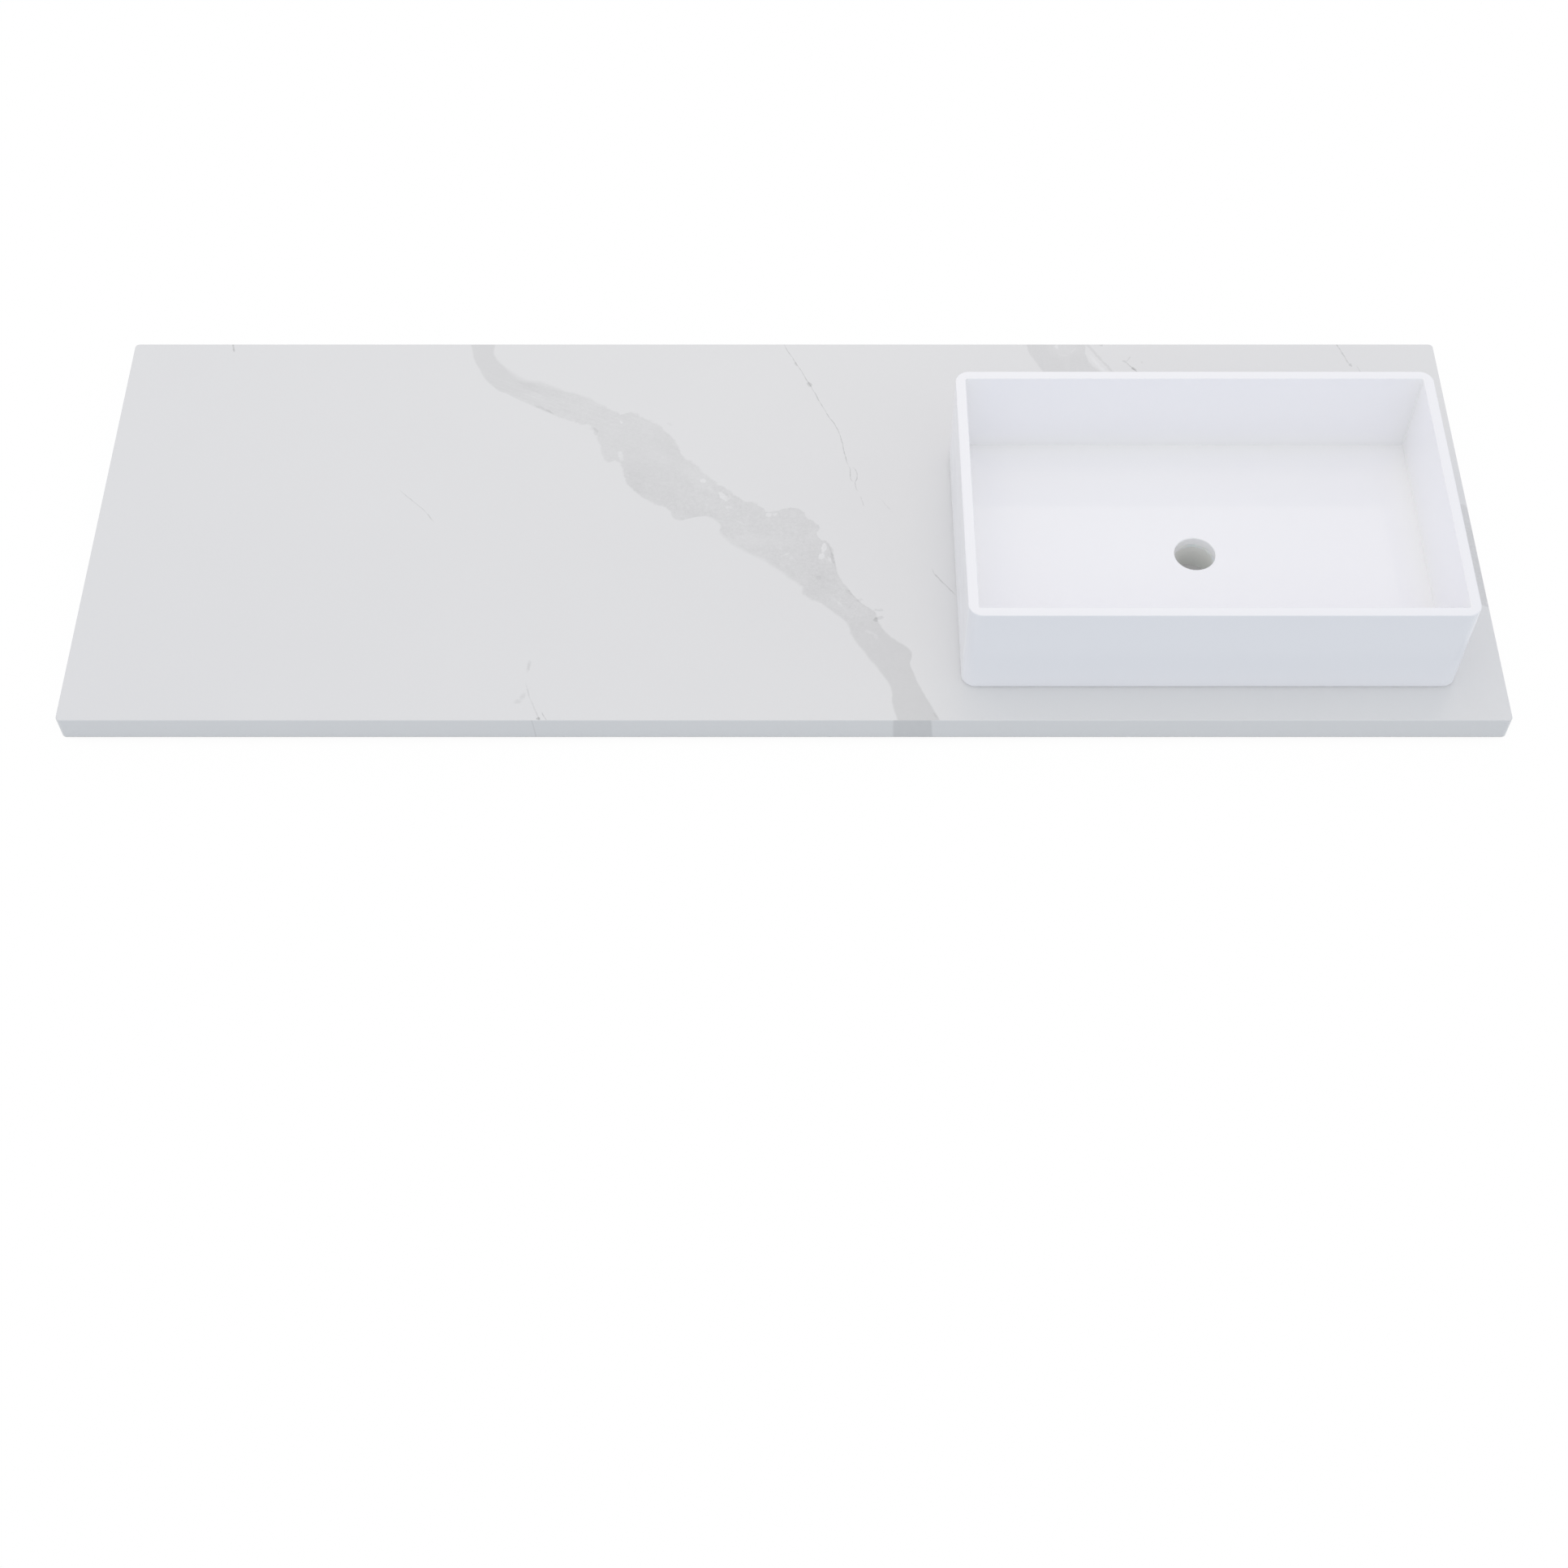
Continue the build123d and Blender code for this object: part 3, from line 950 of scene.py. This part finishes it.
@dataclass
class Ring:
    """A closed strip that runs round a rectangle, such as a bead of sealant.

    Its section is a run of (inward, height) points, from the rectangle and from the base level.
    The points between the lowest and the highest level may ripple, as hand-laid beads do.
    """

    name: str
    middle: Pair
    size: Pair
    base: float
    section: tuple[Pair, ...]
    corner_radius: float = 0.0
    corner_segments: int = 8
    spacing: float = 0.006
    ripple: float = 0.0
    ripple_length: float = 0.02
    cap_reach: float = 0.001

    def make(self) -> bpy.types.Object:
        """Returns the finished ring, made from one plane that is carried round its section."""
        start_inward, start_height = self.section[0]
        bpy.ops.object.select_all(action="DESELECT")
        bpy.ops.mesh.primitive_plane_add(size=1.0, location=(*self.middle, self.base + start_height))
        piece = bpy.context.object
        piece.name = piece.data.name = self.name
        piece.scale = (self.size[0] - 2 * start_inward, self.size[1] - 2 * start_inward, 1.0)
        bpy.ops.object.transform_apply(location=True, rotation=True, scale=True)

        bpy.ops.object.mode_set(mode="EDIT")
        if self.corner_radius:
            radius = self.corner_radius - start_inward
            bpy.ops.mesh.bevel(offset=radius, segments=self.corner_segments, affect="VERTICES")
        bpy.ops.mesh.select_mode(type="EDGE")
        bpy.ops.mesh.select_all(action="SELECT")
        for here, there in zip(self.section, self.section[1:]):
            self._carry(here, there)
        middle, reach = Vector(self.middle), self.cap_reach
        pick(piece, "faces", lambda face: (face.calc_center_median().xy - middle).length < reach)
        bpy.ops.mesh.delete(type="ONLY_FACE")
        pick(piece, "edges", lambda edge: edge.is_boundary)
        bpy.ops.mesh.bridge_edge_loops()
        self._divide(piece)
        bpy.ops.mesh.select_all(action="SELECT")
        bpy.ops.mesh.normals_make_consistent(inside=False)
        bpy.ops.object.mode_set(mode="OBJECT")
        if self.ripple:
            self._ripple(piece)
        bpy.ops.object.shade_smooth_by_angle(angle=SMOOTH_ANGLE)
        return piece

    def _carry(self, here: Pair, there: Pair) -> None:
        """Carries the selected face from one point of the section to the next."""
        inward, rise = there[0] - here[0], there[1] - here[1]
        if inward > 0.0:
            bpy.ops.mesh.inset(thickness=inward, depth=rise, use_even_offset=True)
            return
        bpy.ops.mesh.extrude_region_move(TRANSFORM_OT_translate={"value": (0.0, 0.0, rise)})
        if inward < 0.0:
            sides = [side - 2 * here[0] for side in self.size]
            share = [(side - 2 * inward) / side for side in sides]
            centre = (*self.middle, self.base + there[1])
            bpy.ops.transform.resize(value=(*share, 1.0), center_override=centre)

    def _divide(self, piece: bpy.types.Object) -> None:
        """Cuts the long runs into short lengths."""
        for axis, side in enumerate(self.size):
            def is_run(edge: bmesh.types.BMEdge, axis: int = axis) -> bool:
                """Says whether an edge is a long one along this direction."""
                span = edge.verts[1].co - edge.verts[0].co
                return abs(span[axis]) > 2.0 * self.spacing

            pick(piece, "edges", is_run)
            bpy.ops.mesh.subdivide(number_cuts=round(side / self.spacing))

    def _ripple(self, piece: bpy.types.Object) -> None:
        """Makes the loose part of the surface wavy."""
        heights = [self.base + height for _, height in self.section]
        low, high = min(heights) + TOLERANCE, max(heights) - TOLERANCE
        loose = [point.index for point in piece.data.vertices if low < point.co.z < high]
        group = piece.vertex_groups.new(name="loose")
        group.add(loose, 1.0, "REPLACE")
        waves = bpy.data.textures.new(f"{self.name}_waves", "CLOUDS")
        waves.noise_scale = self.ripple_length
        bpy.ops.object.modifier_add(type="DISPLACE")
        modifier = piece.modifiers[-1]
        modifier.texture = waves
        modifier.vertex_group = group.name
        modifier.strength = self.ripple
        bpy.ops.object.modifier_apply(modifier=modifier.name)
        piece.vertex_groups.clear()


@dataclass(frozen=True)
class Bay:
    """An open field, known by the nodes on its four sides."""

    name: str
    left: str
    right: str
    front: str
    back: str

    def bounds(self) -> tuple[Pair, Pair]:
        """Returns the field's middle and size in plan."""
        left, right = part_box(self.left)[1][0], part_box(self.right)[0][0]
        front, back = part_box(self.front)[1][1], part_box(self.back)[0][1]
        return ((left + right) / 2, (front + back) / 2), (right - left, back - front)


# Sub-assemblies

@dataclass
class Counter:
    """The mitred stone top with the rails that fill its underside."""

    nodes: dict[str, bpy.types.Object]
    stone_names: tuple[str, ...] = (
        "top_panel", "front_apron", "right_apron", "back_apron", "left_apron", "drain_block",
    )
    long_rail_names: tuple[str, ...] = ("front_rail", "back_rail")
    cross_rail_names: tuple[str, ...] = (
        "left_end_rail", "right_end_rail", "left_drain_rail", "right_drain_rail",
        "field_rail_1", "field_rail_2",
    )
    bays: tuple[Bay, ...] = (
        Bay("left_bay", "left_end_rail", "field_rail_1", "front_rail", "back_rail"),
        Bay("middle_bay", "field_rail_1", "field_rail_2", "front_rail", "back_rail"),
        Bay("right_bay", "field_rail_2", "left_drain_rail", "front_rail", "back_rail"),
        Bay("drain_front_bay", "left_drain_rail", "right_drain_rail", "front_rail", "drain_block"),
        Bay("drain_back_bay", "left_drain_rail", "right_drain_rail", "drain_block", "back_rail"),
        Bay("end_bay", "right_drain_rail", "right_end_rail", "front_rail", "back_rail"),
    )
    fillet_leg: float = 0.0045
    fillet_section: tuple[Pair, ...] = (
        (0.0, -1.0), (0.22, -0.85), (0.45, -0.62), (0.68, -0.36), (1.0, 0.0), (0.0, 0.0),
    )
    fillet_ripple: float = 0.0016
    fillet_ripple_length: float = 0.012

    def build(self) -> list[str]:
        """Dresses the stone and the rails, lays the adhesive, and returns all their names."""
        finishes = {
            self.stone_names: EngineeredStone(),
            self.long_rail_names: Plywood(Grain.ALONG_COUNTER),
            self.cross_rail_names: Plywood(Grain.ACROSS_COUNTER),
        }
        for names, finish in finishes.items():
            made = finish.material()
            for name in names:
                dress(self.nodes[name], made)
        adhesive = StoneAdhesive().material()
        fillet_names = [self._fillet(bay, adhesive) for bay in self.bays]
        return [*(name for names in finishes for name in names), *fillet_names]

    def _fillet(self, bay: Bay, adhesive: bpy.types.Material) -> str:
        """Lays the adhesive that the rails pressed out round one bay, and returns its name."""
        middle, size = bay.bounds()
        leg = self.fillet_leg
        piece = Ring(
            name=f"{bay.name}_adhesive",
            middle=middle,
            size=size,
            base=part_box("drain_block")[1][2],
            section=tuple((inward * leg, height * leg) for inward, height in self.fillet_section),
            ripple=self.fillet_ripple,
            ripple_length=self.fillet_ripple_length,
        ).make()
        dress(piece, adhesive)
        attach(piece, "root")
        return piece.name


@dataclass
class Basin:
    """The glued-up basin with its bedding bead and the seal round the bore."""

    nodes: dict[str, bpy.types.Object]
    sheet_names: tuple[str, ...] = (
        "basin_floor", "basin_front_wall", "basin_right_wall", "basin_back_wall",
        "basin_left_wall",
    )
    bead_corner_radius: float = 0.013
    bead_section: tuple[Pair, ...] = (
        (0.00050, 0.0), (0.00012, 0.00025), (0.0, 0.0007), (0.00010, 0.0011), (0.00045, 0.0015),
        (0.006, 0.0015), (0.006, 0.0),
    )
    seal_section: tuple[Pair, ...] = (
        (0.0005, 0.0), (0.0, 0.0006), (0.0, 0.0037), (0.0005, 0.0043), (0.0118, 0.0043),
        (0.0119, 0.0034), (0.0124, 0.0030), (0.0130, 0.00275), (0.0134, 0.0024), (0.01355, 0.0018),
        (0.0136, 0.0006), (0.0135, 0.0),
    )
    bore_radius: float = 0.02225
    inside: Bay = Bay(
        "inside", "basin_left_wall", "basin_right_wall", "basin_front_wall", "basin_back_wall"
    )

    def build(self) -> list[str]:
        """Dresses the basin's sheets, makes its two seals, and returns all their names."""
        floor_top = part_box("basin_floor")[1][2]
        sheet = SolidSurface(*self.inside.bounds(), floor_top, self.bore_radius).material()
        for name in self.sheet_names:
            dress(self.nodes[name], sheet)
        sealant = Sealant().material()
        seals = [self._bead(), self._seal()]
        for piece in seals:
            dress(piece, sealant)
            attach(piece, "root")
        return [*self.sheet_names, *(piece.name for piece in seals)]

    def _round(self, name: str) -> tuple[Pair, Pair, float]:
        """Returns a node's middle and size in plan, and the level of its underside."""
        low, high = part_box(name)
        middle = ((low[0] + high[0]) / 2, (low[1] + high[1]) / 2)
        return middle, (high[0] - low[0], high[1] - low[1]), low[2]

    def _bead(self) -> bpy.types.Object:
        """Lays the bead that beds the walls on the counter, pressed out a little."""
        middle, size, base = self._round("basin_bead")
        piece = Ring(
            "bedding_bead", middle, size, base, self.bead_section, self.bead_corner_radius,
            ripple=0.0003, ripple_length=0.03,
        ).make()
        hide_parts("basin_bead")
        return piece

    def _seal(self) -> bpy.types.Object:
        """Lays the soft ring between the counter's bore and the floor's."""
        middle, size, base = self._round("waste_seal")
        piece = Ring(
            "waste_ring", middle, size, base, self.seal_section, size[0] / 2 - TOLERANCE,
            corner_segments=20, ripple=0.0004, ripple_length=0.01,
        ).make()
        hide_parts("waste_seal")
        return piece


# Studio

def put(name: str, data: bpy.types.ID, place: Triple, tilt: float) -> bpy.types.Object:
    """Puts a lamp or a camera in the scene, tilted up from straight down by an angle."""
    holder = bpy.data.objects.new(name, data)
    bpy.context.collection.objects.link(holder)
    holder.location = place
    holder.rotation_euler = (tilt, 0.0, 0.0)
    return holder


@dataclass(frozen=True)
class Glow:
    """A soft part of the studio's dome, brightest in one direction."""

    direction: Triple
    strength: Triple
    narrowness: float


@dataclass(frozen=True)
class SoftBox:
    """A rectangular lamp that faces the middle of the object."""

    name: str
    place: Triple
    size: Pair
    radiance: float
    tint: Triple

    def hang(self) -> None:
        """Puts the lamp in the scene."""
        lamp = bpy.data.lights.new(self.name, "AREA")
        lamp.shape = "RECTANGLE"
        lamp.size, lamp.size_y = self.size
        lamp.energy = self.radiance * math.pi * self.size[0] * self.size[1]
        lamp.color = self.tint
        put(self.name, lamp, self.place, -math.atan2(self.place[1], self.place[2]))


@dataclass
class Studio:
    """A plain pale floor, a soft dome, soft boxes and the camera."""

    floor_half_size: float = 12.0
    floor_level: float = -0.0002
    floor_colour: Triple = (0.64, 0.67, 0.69)
    dome_level: Triple = (0.315, 0.358, 0.54)
    glows: tuple[Glow, ...] = (
        Glow((0.0, 1.0, 0.1), (0.405, 0.34, 0.185), 4.0),
        Glow((0.0, -0.8, 0.6), (0.585, 0.565, 0.39), 3.0),
        Glow((-0.8, 0.0, 0.6), (0.325, 0.325, 0.255), 3.0),
        Glow((-1.0, 0.0, 0.1), (0.45, 0.415, 0.275), 4.0),
        Glow((0.8, 0.0, 0.6), (0.24, 0.20, 0.09), 3.0),
        Glow((1.0, 0.0, 0.1), (0.59, 0.645, 0.56), 4.0),
    )
    boxes: tuple[SoftBox, ...] = (
        SoftBox("top_box", (0.0, 0.3, 2.0), (2.0, 1.2), 0.55, (1.0, 0.81, 0.42)),
        SoftBox("back_box", (0.0, 2.0, 2.6), (5.0, 2.4), 0.34, (1.0, 0.945, 0.83)),
    )
    camera_place: Triple = (0.0, -1.7046, 2.0169)
    camera_tilt: float = 34.23
    camera_lens: float = 53.81
    camera_clip: Pair = (0.05, 60.0)
    diffuse_bounces: int = 12
    white: Triple = (1.0, 1.0, 1.0)
    shadow_reach: float = 0.12
    shadow_samples: int = 16
    shadow_shades: tuple[Pair, ...] = (
        (0.0, 0.285), (0.19, 0.285), (0.42, 0.88), (0.6, 0.99), (1.0, 1.0),
    )

    def build(self) -> None:
        """Sets the view, then makes the floor, the dome, the soft boxes and the camera."""
        bpy.context.scene.view_settings.view_transform = "Standard"
        bpy.context.scene.cycles.diffuse_bounces = self.diffuse_bounces
        self._floor()
        self._dome()
        for box in self.boxes:
            box.hang()
        self._camera()

    def _seen_directly(self, recipe: Recipe) -> Reading:
        """Returns 1 for what the camera, a reflection or clear material shows, else 0."""
        rays = recipe.node("ShaderNodeLightPath").outputs
        camera, glossy, clear = (
            Reading(recipe, rays[f"Is {kind} Ray"]) for kind in ("Camera", "Glossy", "Transmission")
        )
        return camera | glossy | clear

    def _floor(self) -> None:
        """Makes the floor, white to the eye but for the object's faint shadow."""
        bpy.ops.mesh.primitive_plane_add(
            size=2.0 * self.floor_half_size, location=(0.0, 0.0, self.floor_level)
        )
        floor = bpy.context.object
        floor.name = "studio_floor"
        recipe = Recipe.named("studio_floor")
        openness = recipe.reading(
            "ShaderNodeAmbientOcclusion",
            {"samples": self.shadow_samples}, {"Distance": self.shadow_reach}, "AO",
        )
        seen_colour = recipe.tinted(self.white, openness.table(self.shadow_shades))
        seen = recipe.node("ShaderNodeEmission", inputs={"Color": seen_colour, "Strength": 1.0})
        lit = recipe.node("ShaderNodeBsdfDiffuse", inputs={"Color": self.floor_colour})
        mixed = recipe.node(
            "ShaderNodeMixShader",
            inputs={0: self._seen_directly(recipe), 1: lit.outputs[0], 2: seen.outputs[0]},
        )
        recipe.surface(mixed)
        dress(floor, recipe.owner)

    def _dome(self) -> None:
        """Makes the world: white where it is seen, and a soft uneven dome where it gives light."""
        world = bpy.data.worlds.new("studio_dome")
        bpy.context.scene.world = world
        recipe = Recipe(world)
        direction = recipe.node("ShaderNodeTexCoord").outputs["Generated"]
        light: object = self.dome_level
        for glow in self.glows:
            facing = recipe.measure("DOT_PRODUCT", direction, glow.direction)
            lobe = facing.math("MAXIMUM", 0.0).math("POWER", glow.narrowness)
            light = recipe.blend(1.0, light, recipe.tinted(glow.strength, lobe), "ADD")
        shown = recipe.blend(self._seen_directly(recipe), light, self.white)
        sky = recipe.node("ShaderNodeBackground", inputs={"Color": shown, "Strength": 1.0})
        recipe.surface(sky)

    def _camera(self) -> None:
        """Stands the camera where the photograph was taken from."""
        data = bpy.data.cameras.new("camera")
        data.lens = self.camera_lens
        data.clip_start, data.clip_end = self.camera_clip
        tilt = math.radians(self.camera_tilt)
        bpy.context.scene.camera = put("camera", data, self.camera_place, tilt)


def main() -> None:
    """Loads the frame, builds the studio and the sub-assemblies, and reports each piece."""
    logging.basicConfig(level=logging.INFO, format="%(message)s")
    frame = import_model()
    bpy.ops.object.select_all(action="DESELECT")

    Studio().build()
    for assembly in (Counter(frame["nodes"]), Basin(frame["nodes"])):
        for name in assembly.build():
            log.info("%s: %s", type(assembly).__name__, name)


if __name__ == "__main__":
    main()
